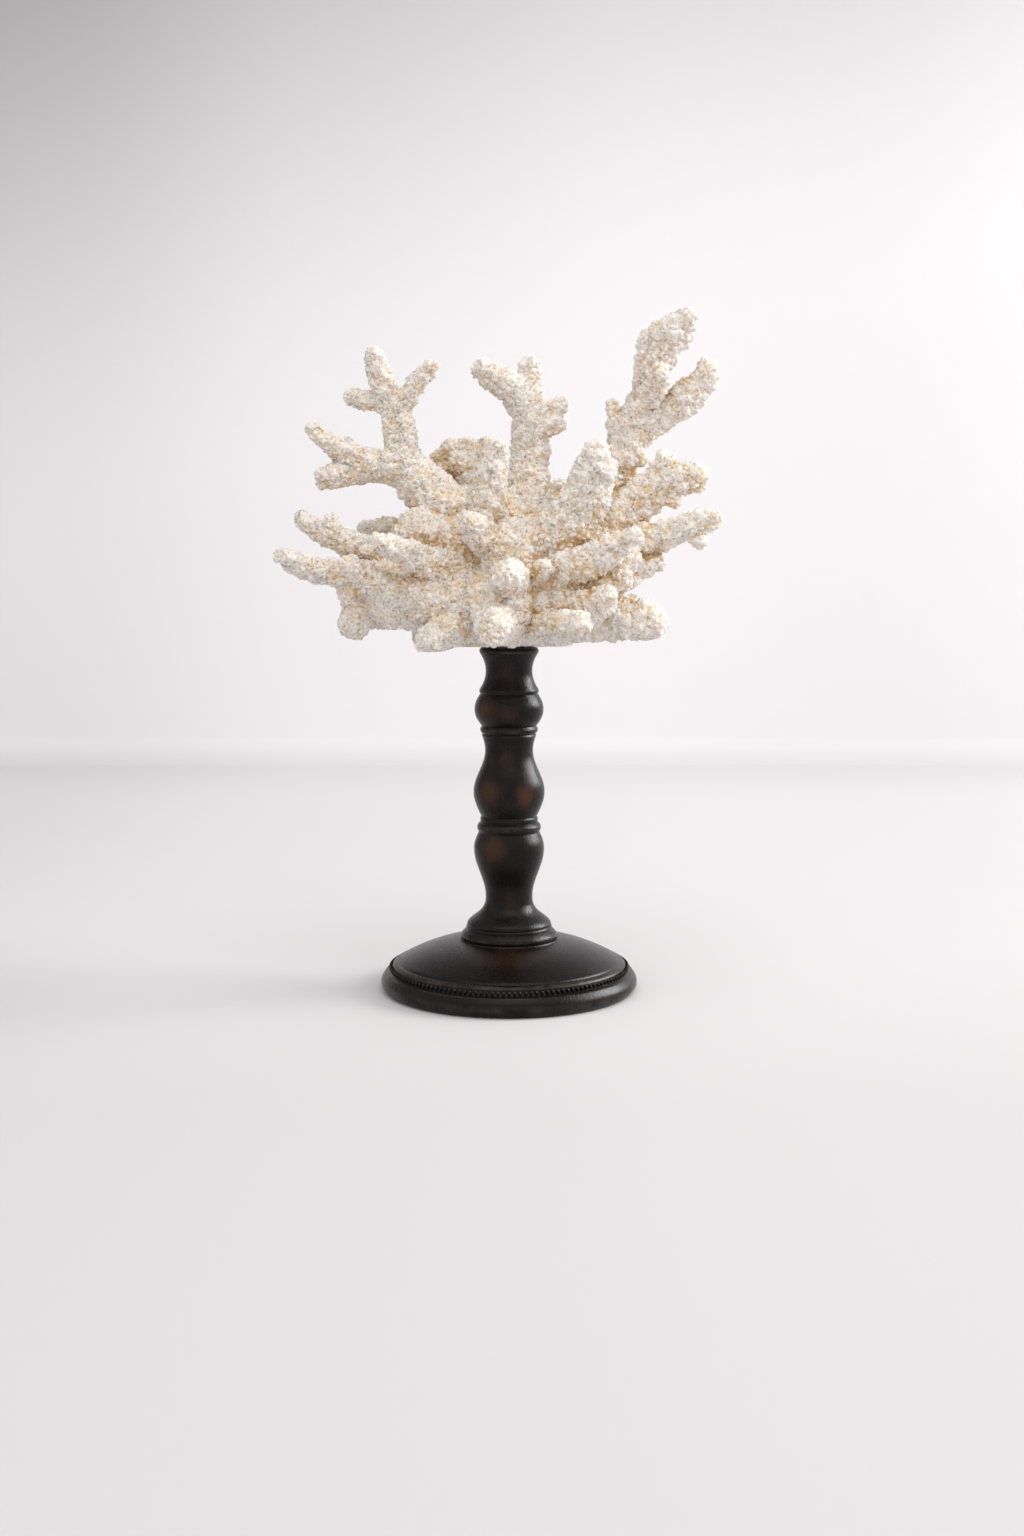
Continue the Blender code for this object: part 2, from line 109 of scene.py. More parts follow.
# Mouldings run down from the top. Each has its shape, the radius at its lower end, its
# drop, and how far an arc's middle stands out from its chord (negative for a cove).
COLUMN_TOP_RADIUS = 15.1
COLUMN_MOULDINGS = (
    ("line", 15.1, 0.8, 0.0),
    ("arc", 15.3, 3.2, 0.75),
    ("arc", 15.6, 18.6, -2.95),
    ("arc", 15.6, 2.4, 0.4),
    ("line", 15.4, 0.3, 0.0),
    ("arc", 14.7, 17.3, 3.5),
    ("line", 14.9, 0.4, 0.0),
    ("arc", 14.5, 3.6, 0.85),
    ("line", 14.3, 0.3, 0.0),
    ("arc", 14.3, 1.7, 0.4),
    ("rise", 12.9, 7.2, 0.0),
    ("ogee", 19.2, 22.6, 0.0),
    ("swell", 15.0, 13.2, 0.0),
    ("line", 15.4, 0.6, 0.0),
    ("arc", 15.4, 2.4, 0.2),
    ("arc", 16.4, 5.5, 1.35),
    ("line", 16.5, 0.3, 0.0),
    ("rise", 19.05, 8.7, 0.0),
    ("ogee", 12.7, 26.6, 0.0),
    ("flare", 19.0, 10.6, 0.0),
    ("rise", 22.9, 4.7, 0.0),
    ("line", 22.7, 0.4, 0.0),
    ("arc", 23.4, 1.4, 0.25),
    ("line", 23.2, 0.3, 0.0),
    ("rise", 26.2, 4.1, 0.0),
    ("line", 26.0, 0.9, 0.0),
)

FOOT_TOP_RADIUS = 27.3
FOOT_MOULDINGS = (
    ("line", 27.7, 0.5, 0.0),
    ("arc", 59.6, 11.3, 1.5),
    ("line", 60.2, 0.8, 0.0),
    ("arc", 63.4, 1.8, 0.5),
    ("line", 63.6, 0.8, 0.0),
    ("arc", 66.9, 2.8, -0.6),
    ("line", 67.6, 0.8, 0.0),
    ("arc", 66.0, 9.9, 2.9),
)

# Limbs of the coral. Each runs through stations of (across, back, up from the seat,
# radius), in millimetres, from inside the limb or core it grows from to its rounded tip.
LIMBS = {
    # Upper left: a thick trunk that divides into an upright and an arm
    "left_trunk": [(-18, 0, 49, 15), (-33, 2, 72, 13.5), (-48, 4, 87, 12.5), (-56, 5, 97, 10)],
    "upright": [(-55, 5, 95, 10), (-58, 5, 115, 7.9), (-60, 5, 126, 7.5)],
    "upright_tip": [(-60, 5, 124, 6.8), (-69, 2, 141, 6.1), (-70.5, 0, 152, 4.9)],
    "upright_spur": [(-60, 5, 125, 5.6), (-73, 8, 131, 5), (-83.5, 10, 131, 4.4)],
    "upright_twig": [(-59, 4, 125, 5.8), (-49, 0, 137, 4.8), (-41, -4, 146, 3.9)],
    "arm": [(-52, 5, 94, 10.5), (-66, 3, 95, 9), (-78, 0, 96, 8)],
    "arm_upper_tip": [(-76, 0, 96, 7), (-91, -3, 104, 5.8), (-103, -6, 113, 4)],
    "arm_lower_tip": [(-76, 1, 94, 7.5), (-88, 0, 91, 6.8), (-97, -4, 88, 5.4)],
    # Far left: a long limb with a stub, a lower limb beside it and one behind
    "far_left": [(-24, -4, 46, 13), (-59, -5, 47, 9.5), (-78, -8, 51, 8), (-91, -9, 56, 6.4),
                 (-102, -10, 62, 4.8), (-110, -10, 67.5, 3.6)],
    "far_left_stub": [(-88, -9, 55, 5), (-93, -13, 61, 4.6), (-94, -14, 66.5, 3.8)],
    "low_left": [(-50, -12, 34, 12), (-77, -18, 37, 8), (-93, -22, 39, 6.8), (-108, -25, 43, 5.8),
                 (-117, -28, 47.5, 4.4)],
    "behind_left": [(-40, 20, 52, 10), (-57, 30, 60, 6.8), (-69, 35, 63, 5.6), (-79, 38, 62.5, 4)],
    "front_left": [(-24, -20, 37, 12), (-43, -35, 45, 7.2), (-57, -47, 52, 5.6), (-66, -56, 56, 3.8)],
    "front_left_nub": [(-56, -28, 28, 10), (-70, -38, 36, 7), (-82, -47, 43.5, 5.4)],
    # The base plate's left end and its hanging lobe
    "plate_left": [(-20, -6, 22, 15), (-58, -14, 23, 12), (-78, -18, 20, 10.4), (-81, -20, 13, 8.2)],
    "plate_wall": [(-60, -16, 32, 9), (-81, -20, 29, 8.4)],
    "plate_shoulder": [(-22, -16, 34, 14), (-48, -22, 30, 11), (-64, -24, 26, 9)],
    "plate_swell": [(-6, -10, 30, 16), (-24, -26, 23, 13)],
    "plate_lobe": [(-18, -20, 16, 12), (-30, -32, 13, 9.5), (-40, -46, 5, 7)],
    # Nubs that point at the viewer
    "nub_high": [(2, -16, 31, 13), (0, -46, 37, 8.4), (-0.5, -62, 39.5, 6.8)],
    "nub_low": [(-3, -16, 16, 13), (-7, -50, 14, 9.4), (-8, -66, 13.5, 8.2)],
    "nub_left": [(-7, -14, 50, 11), (-16, -36, 61, 7.2), (-21.5, -48, 66, 5.6)],
    "nub_small": [(9, -28, 36, 8), (18, -44, 42, 3.2)],
    # Middle: a leaning limb in front, a knobbly cluster behind it and a tall limb
    "front_ridge": [(-6, -10, 44, 13), (-12, -18, 66, 10.2), (-11, -23, 82, 8.4), (-8, -27, 94, 6.4),
                    (-5, -29, 103, 4)],
    "cluster": [(-14, 12, 49, 14), (-20, 20, 71, 13), (-22, 24, 90, 12.4)],
    "cluster_knob_a": [(-25, 24, 90, 8), (-37, 24, 98.5, 5.4)],
    "cluster_knob_b": [(-25, 24, 90, 8), (-31, 23, 104, 5.4)],
    "cluster_knob_c": [(-24, 26, 90, 8), (-23, 30, 105.5, 5.6)],
    "cluster_knob_d": [(-20, 25, 90, 8), (-14, 25, 105, 5.4)],
    "cluster_knob_e": [(-20, 24, 88, 8), (-9, 23, 100, 5)],
    "cluster_knob_f": [(-23, 20, 88, 8), (-26, 12, 98, 4.8)],
    "cluster_knob_g": [(-24, 24, 91, 8), (-34, 22, 93, 6.2)],
    "middle": [(4, 2, 50, 15), (10, 8, 72, 12), (11, 12, 90, 10), (12, 14, 106, 8.8),
               (10, 13, 123, 8.2)],
    "middle_left_tip": [(10, 13, 123, 8), (3, 11, 135.5, 8), (-6, 8, 140.5, 7), (-14, 4, 145, 5.4)],
    "middle_up_tip": [(10, 13, 124, 8), (11, 16, 139, 7), (11, 18, 147.5, 5)],
    "middle_right_nub": [(12, 13, 120, 8), (21, 11, 122, 6.2), (27, 10, 127, 4.6)],
    "middle_right_knob": [(14, 12, 117, 8), (24.5, 8, 117, 4.8)],
    "middle_saddle": [(8, 0, 48, 15), (23, 0, 66, 13), (32, 4, 76, 7.5)],
    "middle_spur": [(20, 2, 62, 9), (25, 0, 76, 5.8), (27, -2, 83, 4)],
    # Right: a stout pointed limb in front and a tall forked one behind it
    "front_right": [(8, -8, 38, 14), (22, -18, 54, 13), (32, -23, 66, 12.4), (40, -27, 79, 12),
                    (45, -31, 92, 10.4), (45, -35, 100, 6.4)],
    "tall_right": [(28, 4, 52, 13), (46, 12, 72, 11), (55, 15, 85, 9.4), (61, 15, 100, 8.6),
                   (68, 15, 118, 9)],
    "tall_right_stub": [(60, 15, 106, 6), (57, 15, 118, 4.6), (55.5, 16, 127.5, 3.2)],
    "tall_right_stem": [(67, 15, 116, 7.8), (73, 12, 133, 6.8), (76, 9, 148, 8.6), (80.5, 6, 159, 11.2),
                        (88.5, 3, 166.5, 9), (93, 1, 169.5, 6)],
    "tall_right_corner": [(80, 6, 157, 7), (75, 6, 161, 5.8)],
    "tall_right_knob": [(74, 10, 130, 5.6), (78, -1, 138, 5.2), (79, -8, 143.5, 4.6)],
    "tall_right_arm": [(66, 15, 112, 9), (80, 15, 122, 8.4), (91, 14, 128, 8.8), (100, 12, 135, 8.2),
                       (105, 10, 144, 5.8)],
    "tall_right_heel": [(60, 12, 96, 7), (69, 8, 100, 4.6)],
    "mid_right": [(24, 2, 44, 14), (43, 0, 57, 11.8), (60, 0, 68, 10.2), (72, 0, 80, 9.6),
                  (85, -2, 88, 9.4), (98, -4, 89, 6.6)],
    "mid_right_bump": [(80, -1, 87, 6.5), (82, -5, 97.5, 4.6)],
    "mid_right_heel": [(82, -2, 82, 6.5), (86, -4, 76.5, 4)],
    "long_right": [(24, -4, 38, 13), (43, -5, 46, 10.4), (67, -8, 54, 8.4), (83, -10, 59, 6.6),
                   (94, -12, 63, 6), (106, -14, 66.5, 4.8)],
    "long_right_bump": [(94, -12, 62, 4.5), (100, -15, 56.5, 3.4)],
    "right_ledge": [(36, -6, 38, 11), (56, -10, 41, 8.4), (76, -9, 44, 5.4)],
    "right_ledge_low": [(36, -8, 34, 10), (64, -12, 36, 5.2)],
    "right_ridge": [(12, -20, 34, 12), (27, -30, 40, 9), (40, -38, 45, 8.4), (54, -44, 52, 6.6),
                    (64, -48, 58.5, 3.8)],
    "right_shelf": [(14, -14, 30, 14), (38, -24, 33, 9.4), (58, -26, 36, 6.4)],
    "low_right": [(8, 0, 16, 15), (28, -6, 15, 12), (46, -10, 14, 10.6), (63, -14, 15, 11),
                  (73, -16, 13, 9.2)],
    "low_right_twig": [(10, -20, 13, 10), (24, -42, 12, 7), (36, -61, 15, 5)],
    "low_right_spur": [(20, -22, 19, 9), (37, -36, 23, 6.4), (50, -47, 28.5, 4.4)],
    # Behind
    "back_left": [(-10, 14, 34, 14), (-32, 38, 38, 10.4), (-50, 54, 44, 8), (-68, 72, 51, 5.2)],
    "back_left_twig": [(-42, 47, 41, 7), (-46, 64, 50, 5.8), (-45, 78, 57, 4.4)],
    "back_left_high": [(-30, 10, 64, 10), (-44, 28, 78, 7.6), (-53, 40, 87, 6), (-58, 50, 96, 4.4)],
    "back_left_low": [(-10, 12, 20, 14), (-34, 34, 15, 10.6), (-50, 50, 15, 8), (-63, 63, 19, 5.4)],
    "back_middle": [(0, 16, 38, 14), (3, 42, 48, 10.6), (6, 62, 57, 8.4), (10, 88, 72, 5.4)],
    "back_middle_twig": [(4, 56, 54, 7.5), (-5, 66, 70, 6), (-9, 72, 81, 4.4)],
    "back_middle_spur": [(8, 72, 62, 6), (20, 84, 61, 4.2)],
    "back_middle_low": [(0, 14, 20, 14), (4, 44, 16, 10), (8, 66, 17, 7.6), (8, 82, 24, 5)],
    "back_tall": [(10, 18, 60, 10), (12, 36, 82, 8), (13, 48, 100, 6.6), (12, 58, 114, 4.8)],
    "back_right": [(14, 14, 36, 14), (32, 38, 48, 10.2), (48, 53, 56, 8), (68, 68, 72, 5)],
    "back_right_twig": [(42, 48, 53, 7), (44, 64, 59, 5.8), (40, 78, 66, 4.4)],
    "back_right_high": [(34, 12, 62, 9), (44, 30, 76, 7.2), (49, 42, 86, 5.8), (52, 51, 94, 4.4)],
    "back_right_low": [(12, 12, 20, 14), (34, 30, 16, 11), (50, 44, 16, 8.4), (67, 58, 20, 5.6)],
    # The grown-together middle, which the limbs stand out of
    "mass_cluster": [(-14, 0, 46, 17), (-21, 4, 62, 15), (-26, 3, 71, 12)],
    "mass_behind_cluster": [(-14, 8, 56, 15), (-27, 15, 67, 12), (-33, 17, 73, 9)],
    "mass_middle": [(0, 0, 56, 14), (-2, 4, 73, 10)],
    "mass_left_high": [(-12, -6, 44, 20), (-32, -8, 51, 16.5), (-46, -6, 60, 13)],
    "mass_left_low": [(-8, -16, 24, 20), (-36, -24, 27, 17.5), (-60, -25, 25, 13.5)],
    "mass_front_high": [(4, -8, 46, 21), (1, -22, 50, 17)],
    "mass_front_low": [(0, -14, 22, 22), (-4, -31, 22, 17)],
    "mass_right_high": [(12, -8, 44, 21), (36, -14, 47, 17.5), (55, -17, 47, 13)],
    "mass_right_low": [(10, -16, 24, 21), (32, -25, 23, 15), (45, -23, 25, 11)],
    "mass_behind_right": [(24, 2, 52, 15), (40, 4, 62, 14), (50, 6, 70, 11)],
    "mass_right_shelf": [(30, -10, 34, 15), (46, -14, 37, 13), (56, -12, 42, 8.4)],
    # The underside: a ledge that the flat seat is cut from
    "seat_ledge": [(-50, 2, 11, 10), (-28, 2, 9, 13), (0, 2, 8, 15), (22, 2, 10, 12.5), (38, 2, 14, 9.5)],
}

# The main forks, where the coral is parted: the piece's name, the limb that is cut,
# how far along its run, and the radius of the cut in millimetres.
FORKS = (
    ("branch_upright_left", "upright", 0.42, 11.5),
    ("branch_arm_left", "arm", 0.66, 11.5),
    ("branch_far_left", "far_left", 0.66, 10.0),
    ("branch_low_left", "low_left", 0.66, 9.5),
    ("branch_front_left", "front_left", 0.50, 9.5),
    ("branch_front_ridge", "front_ridge", 0.54, 12.5),
    ("cluster_behind", "cluster", 0.88, 15.5),
    ("branch_middle", "middle", 0.50, 13.0),
    ("branch_front_right", "front_right", 0.60, 15.5),
    ("branch_tall_right", "tall_right", 0.61, 13.0),
    ("branch_mid_right", "mid_right", 0.64, 13.0),
    ("branch_long_right", "long_right", 0.68, 10.5),
    ("branch_low_right", "low_right", 0.79, 15.0),
    ("branch_back_left", "back_left", 0.46, 12.5),
    ("branch_back_middle", "back_middle", 0.46, 12.0),
    ("branch_back_right", "back_right", 0.48, 12.0),
    ("fork_upper_left", "left_trunk", 0.72, 15.5),
    ("branch_behind_left", "behind_left", 0.40, 10.5),
    ("branch_back_left_high", "back_left_high", 0.44, 10.5),
    ("branch_back_left_low", "back_left_low", 0.50, 13.0),
    ("branch_back_middle_high", "back_tall", 0.38, 11.0),
    ("branch_back_middle_low", "back_middle_low", 0.42, 14.0),
    ("branch_back_right_high", "back_right_high", 0.54, 9.5),
    ("branch_back_right_low", "back_right_low", 0.42, 14.0),
    ("branch_front_right_low", "right_ridge", 0.66, 11.0),
    ("nub_front_high", "nub_high", 0.78, 12.5),
    ("nub_front_low", "nub_low", 0.74, 13.0),
    ("nub_front_left", "front_left_nub", 0.42, 10.5),
    ("lobe_front_left", "plate_lobe", 0.79, 11.0),
)
# Half the thickness of the slab of faces that is sawn at a fork, how far past the cut a
# part is told by, and where the trunk's crust is parted, in millimetres
SAW_SLAB = 2.0
PROBE_PAST_CUT = 4.0
TRUNK_SPLITS = (-22.0, 22.0)

# Crust of the coral. Sizes, heights, depths and the span from a full ridge to a full
# hollow are in millimetres. Rims, reaches and widths are shares of a cell, and the last
# two are the share of cells that stay without a cup or a pore.
KNOB_SIZE = 5.6
KNOB_HEIGHT = 1.9
CUP_SIZE = 2.9
CUP_RIM = 0.4
CUP_RIM_WIDTH = 0.17
CUP_HEIGHT = 1.2
CUP_DEPTH = 1.2
NODULE_HEIGHT = 1.5
BUMP_REACH = 0.8
GROOVE = 0.22
GROOVE_DEPTH = 0.8
PORE_SPACING = 2.5
PORE_REACH = 0.26
PORE_DEPTH = 0.8
WARP_SIZE = 3.0
WARP_REACH = 0.9
HOLLOW_SPAN = 1.6
WITHOUT_CUP = 0.35
WITHOUT_PORE = 0.45

# Over how many metres, from left to right, the knobs grow taller
KNOB_CHANGE = 0.16

# How closed in a place is, which the coral's colour turns into painted shade: every so many
# points, rays that start this far off the skin, not too flat along it, and look this far,
# carried to all points on a grid, in millimetres
SHELTER_STRIDE = 14
SHELTER_RAYS = 48
SHELTER_START = 1.5
SHELTER_LEAST_FACING = 0.1
SHELTER_REACH = 42.0
SPREAD_GRID = 4.0

# The row of small slanted beads round the foot, in millimetres and degrees, and how much
# they are painted pale as an edge is, for wear and a painted highlight
BEADS = 140
BEAD_RING = 64.6
BEAD_HEIGHT = 12.6
BEAD_RADII = (0.85, 0.8, 1.3)
BEAD_SLANT = 24.0
BEAD_WEAR_AND_HIGHLIGHT = 0.8

# The studio's paper, in metres: its front end, half its width, how far back it turns up
# into the wall, the sweep's radius and steps, and the wall's top
PAPER_FRONT = -3.0
PAPER_HALF_WIDTH = 3.5
WALL = 1.0
SWEEP = 0.03
SWEEP_STEPS = 16
WALL_TOP = 3.0

# The paper's colours: the floor's, the wall's, painted lighter than the floor's as painted light, and
# what both fade to in the shade
FLOOR_PAPER = (0.662, 0.651, 0.669, 1)
WALL_PAPER = (0.812, 0.798, 0.817, 1)
SHADED_PAPER = (0.35, 0.342, 0.355, 1)

# Tones of the coral from its bare ridges to its tan recesses, partly its own stain and partly
# painted shade, and inside its pores, partly their tan and partly painted shade
CORAL_TONES = (
    (0.0, (0.965, 0.89, 0.83)),
    (0.3, (0.945, 0.83, 0.705)),
    (0.6, (0.895, 0.73, 0.535)),
    (1.0, (0.74, 0.52, 0.29)),
)
PORE_TONE = (0.6, 0.4, 0.23, 1)

# Tones of the stained wood, of the wood rubbed bare, and of its pale edges, partly worn and partly a
# painted highlight
WOOD_TONES = ((0.25, (0.0022, 0.0017, 0.0016)), (0.75, (0.0055, 0.0036, 0.003)))
BARE_WOOD = (0.06, 0.024, 0.0105, 1)
WORN_EDGE_AND_HIGHLIGHT = (0.12, 0.085, 0.065, 1)

# The camera: its place in metres, how far it looks down in degrees, and its lens in
# millimetres, from a focal length of 1900 in a picture 1536 high
CAMERA_PLACE = (0.0016, -1.0163, 0.2495)
CAMERA_DIP = 7.2
SENSOR = 36
LENS = 1900 / 1536 * SENSOR

# Soft light from all round, and the lamps: a key from the right, a strip behind it that
# only shows as glints on the wood, and a wide soft lamp above in front
ROOM_LIGHT = (1.0, 0.985, 0.965, 1)
ROOM_STRENGTH = 0.92
LAMPS = {
    "key": {
        "place": (2.2, 0.15, 1.3), "aim": (0, 0, 0.2), "size": (1.2, 1.2),
        "power": 43, "colour": (1.0, 0.985, 0.955),
    },
    "strip": {
        "place": (1.6, 0.65, 0.9), "aim": (0, 0, 0.15), "size": (0.35, 1.0),
        "power": 30, "colour": (0.95, 0.98, 1.0),
    },
    "top": {
        "place": (0.1, -0.75, 1.7), "aim": (0, 0, 0.15), "size": (1.6, 1.2),
        "power": 8, "colour": (1, 1, 1),
    },
}
ONLY_GLINTS = ("strip",)

# Where the stain is rubbed through: the side it faces in degrees, its height, its half
# width in degrees, its half height, and how strong it is
RUBS = (
    (-100, 175, 34, 8, 0.5),
    (-140, 154, 38, 9, 0.8),
    (-92, 152, 30, 7, 0.6),
    (-95, 127, 34, 10, 0.6),
    (-62, 108, 20, 8, 1.0),
    (-125, 109, 32, 9, 0.85),
    (-93, 104, 30, 6, 0.5),
    (-118, 79, 34, 10, 0.85),
    (-90, 52, 30, 9, 0.5),
    (-92, 25, 40, 5, 0.55),
    (-150, 6, 26, 5, 0.3),
    (-60, 5, 22, 4, 0.25),
    (20, 150, 30, 9, 0.6),
    (75, 108, 34, 9, 0.8),
    (140, 80, 30, 9, 0.7),
    (110, 154, 34, 8, 0.6),
    (100, 25, 40, 5, 0.6),
    (178, 108, 26, 8, 0.7),
    (60, 6, 40, 5, 0.3),
)


def eased(shape, share):
    """How much of a moulding's change of radius is done a share of the way down it."""
    if shape == "ogee":
        return (1 - math.cos(math.pi * share)) / 2
    if shape == "swell":
        return 1 - math.cos(share * math.pi / 2)
    if shape == "rise":
        return math.sin(share * math.pi / 2)
    if shape == "flare":
        return share**2.5
    return share


def run_down(radius, height, mouldings):
    """A profile's points, as (radius, height), from its top edge down its mouldings."""
    points = [Vector((radius, height))]
    for shape, end_radius, drop, bulge in mouldings:
        start = points[-1]
        chord = Vector((end_radius - start.x, -drop))
        outward = Vector((drop, chord.x)).normalized()
        count = max(2, round(chord.length / ARC_STEP))
        for i in range(1, count + 1):
            share = i / count
            on_chord = Vector((start.x + chord.x * eased(shape, share), start.y - drop * share))
            points.append(on_chord + outward * 4 * bulge * share * (1 - share))
    return points


def new_object(name, mesh):
    obj = bpy.data.objects.new(name, mesh)
    bpy.context.scene.collection.objects.link(obj)
    return obj


def evaluated_mesh(obj):
    bpy.context.view_layer.update()
    return bpy.data.meshes.new_from_object(obj.evaluated_get(bpy.context.evaluated_depsgraph_get()))


def from_seat(across, back, up):
    """A point in metres, from its place in millimetres about the seat's centre."""
    return Vector((across, back, up + SEAT)) * MM


def along(stations, share):
    """The point and direction a share of the way along a limb's run."""
    points = [from_seat(*station[:3]) for station in stations]
    lengths = [(b - a).length for a, b in zip(points, points[1:])]
    left = share * sum(lengths)
    for start, end, length in zip(points, points[1:], lengths):
        if left <= length:
            break
        left -= length
    direction = (end - start).normalized()
    return start + direction * left, direction


def limb_mesh(stations):
    """A limb and its rounded tip as closed meshes, as thick at each station as it says."""
    curve = bpy.data.curves.new("limb", "CURVE")
    curve.dimensions = "3D"
    curve.bevel_depth = MM
    curve.bevel_resolution = 5
    curve.use_fill_caps = True
    spline = curve.splines.new("NURBS")
    spline.points.add(len(stations) - 1)
    for point, station in zip(spline.points, stations):
        point.co = (*from_seat(*station[:3]), 1.0)
        point.radius = station[3]
    spline.order_u = 3
    spline.use_endpoint_u = True
    obj = new_object("limb", curve)
    mesh = evaluated_mesh(obj)
    bpy.data.objects.remove(obj)
    shape = bmesh.new()
    shape.from_mesh(mesh)
    tip = Matrix.Translation(from_seat(*stations[-1][:3]))
    bmesh.ops.create_icosphere(shape, subdivisions=3, radius=stations[-1][3] * MM, matrix=tip)
    bmesh.ops.remove_doubles(shape, verts=shape.verts, dist=0.00001)
    shape.to_mesh(mesh)
    shape.free()
    return mesh


def grow_colony():
    """Every limb and the core, fused in one skin with filleted forks."""
    shape = bmesh.new()
    for stations in LIMBS.values():
        shape.from_mesh(limb_mesh(stations))
    stretch = Matrix.Diagonal((*(radius * MM for radius in CORE_RADII), 1))
    core = Matrix.Translation(from_seat(*CORE_CENTRE)) @ stretch
    bmesh.ops.create_uvsphere(shape, u_segments=96, v_segments=64, radius=1.0, matrix=core)
    mesh = bpy.data.meshes.new("colony")
    shape.to_mesh(mesh)
    shape.free()
    colony = new_object("colony", mesh)
    fuse = colony.modifiers.new("Fuse", "REMESH")
    fuse.mode = "VOXEL"
    fuse.voxel_size = VOXEL * MM
    fillet = colony.modifiers.new("Fillet", "SMOOTH")
    fillet.iterations = FORK_FILLET_PASSES
    lumps = bpy.data.textures.new("lumps", "CLOUDS")
    lumps.noise_scale = LUMP_SIZE * MM
    lumps.noise_depth = 1
    swell = colony.modifiers.new("Lumps", "DISPLACE")
    swell.texture = lumps
    swell.strength = LUMP_HEIGHT * MM
    swell.mid_level = LUMP_FLOOR
    mesh = evaluated_mesh(colony)
    bpy.data.objects.remove(colony)
    return mesh


def scatter(cells, seed):
    """A repeatable random number from 0 to 1 for each whole-numbered cell."""
    mixed = cells.astype(np.int64) @ np.array((73856093, 19349663, 83492791)) + seed * 40503077
    mixed = ((mixed ^ (mixed >> 15)) * 73244475) & 0xFFFFFFFF
    mixed = ((mixed ^ (mixed >> 13)) * 73244475) & 0xFFFFFFFF
    return ((mixed ^ (mixed >> 16)) & 0xFFFFFF) / 0xFFFFFF


def drift(points, size, seed):
    """Smooth noise from 0 to 1 that changes over about the given size."""
    scaled = points / (size * MM)
    base = np.floor(scaled)
    part = scaled - base
    part = part * part * (3 - 2 * part)
    total = np.zeros(len(points))
    for corner in itertools.product((0, 1), repeat=3):
        weight = np.prod(np.where(corner, part, 1 - part), axis=1)
        total += weight * scatter(base + corner, seed)
    return total


def nearest_seed(points, size, seed):
    """The gaps to the nearest and the next scattered seed, in cells, and the nearest's number."""
    scaled = points / (size * MM)
    base = np.floor(scaled)
    nearest = np.full(len(points), 9.0)
    second = np.full(len(points), 9.0)
    number = np.zeros(len(points))
    for step in itertools.product((-1, 0, 1), repeat=3):
        cell = base + step
        place = cell + np.stack([scatter(cell, seed + axis) for axis in range(3)], axis=1)
        gap = np.linalg.norm(scaled - place, axis=1)
        closer = gap < nearest
        second = np.where(closer, nearest, np.minimum(second, gap))
        nearest = np.where(closer, gap, nearest)
        number = np.where(closer, scatter(cell, seed + 3), number)
    return nearest, second, number


def dome(gap, reach):
    """A round bump, 1 at its seed and 0 from the reach on."""
    return np.clip(1 - (gap / reach) ** 2, 0, 1)


def crust(points):
    """How far the crust stands out, in millimetres, how hollow it is and where its pores are."""
    warp = np.stack([drift(points, WARP_SIZE, 50 + axis) - 0.5 for axis in range(3)], axis=1)
    warped = points + warp * 2 * WARP_REACH * MM
    rightward = np.clip(points[:, 0] / KNOB_CHANGE + 0.5, 0, 1)
    gap, _, number = nearest_seed(points + warp * WARP_REACH * MM, KNOB_SIZE, 11)
    knobs = KNOB_HEIGHT * dome(gap, BUMP_REACH) * (0.4 + 0.6 * number) * (0.75 + 0.55 * rightward)
    gap, second, number = nearest_seed(warped, CUP_SIZE, 21)
    grooves = GROOVE_DEPTH * np.exp(-(((second - gap) / GROOVE) ** 2))
    rim = np.exp(-(((gap - CUP_RIM) / CUP_RIM_WIDTH) ** 2))
    well = np.clip(1 - gap / CUP_RIM, 0, 1)
    cup = number > WITHOUT_CUP
    nodules = NODULE_HEIGHT * dome(gap, BUMP_REACH) * (0.4 + number)
    cups = CUP_HEIGHT * rim * (0.5 + 0.5 * number) - CUP_DEPTH * np.sqrt(well)
    gap, _, number = nearest_seed(warped, PORE_SPACING, 31)
    small_pores = dome(gap, PORE_REACH) * (number > WITHOUT_PORE)
    out = knobs - grooves + np.where(cup, cups, nodules)
    out -= out.mean()
    hollow = np.clip(0.5 - out / HOLLOW_SPAN, 0, 1)
    pores = np.maximum(small_pores, np.where(cup, np.clip(well * 1.6 - 0.3, 0, 1), 0))
    return out - PORE_DEPTH * small_pores, hollow, pores


def shelter(points, normals, solids):
    """How closed in each point is, from 0 in the open to 1 deep between branches."""
    turn = math.pi * (3 - math.sqrt(5))
    rays = []
    for i in range(SHELTER_RAYS):
        height = 1 - (2 * i + 1) / SHELTER_RAYS
        ring = math.sqrt(1 - height * height)
        rays.append(Vector((math.cos(turn * i) * ring, math.sin(turn * i) * ring, height)))
    closed = []
    for index in range(0, len(points), SHELTER_STRIDE):
        normal = Vector(normals[index])
        start = Vector(points[index]) + normal * SHELTER_START * MM
        seen = 0.0
        blocked = 0.0
        for ray in rays:
            facing = ray.dot(normal)
            if facing < SHELTER_LEAST_FACING:
                continue
            seen += facing
            distance = solids.ray_cast(start, ray, SHELTER_REACH * MM)[3]
            if distance is not None:
                blocked += facing * (1 - distance / (SHELTER_REACH * MM)) ** 0.5
        closed.append(blocked / seen)
    return spread(points, points[::SHELTER_STRIDE], np.array(closed))


def spread(points, samples, values):
    """Values known at some samples, carried smoothly to all points through a coarse grid."""
    low = points.min(axis=0) - SPREAD_GRID * MM
    counts = np.ceil((points.max(axis=0) - low) / (SPREAD_GRID * MM)).astype(int) + 2
    totals = np.zeros(counts)
    weights = np.zeros(counts)
    for corner, share in grid_corners(samples, low):
        np.add.at(totals, tuple(corner.T), share * values)
        np.add.at(weights, tuple(corner.T), share)
    total = np.zeros(len(points))
    weight = np.full(len(points), 1e-6)
    for corner, share in grid_corners(points, low):
        total += share * totals[tuple(corner.T)]
        weight += share * weights[tuple(corner.T)]
    return total / weight


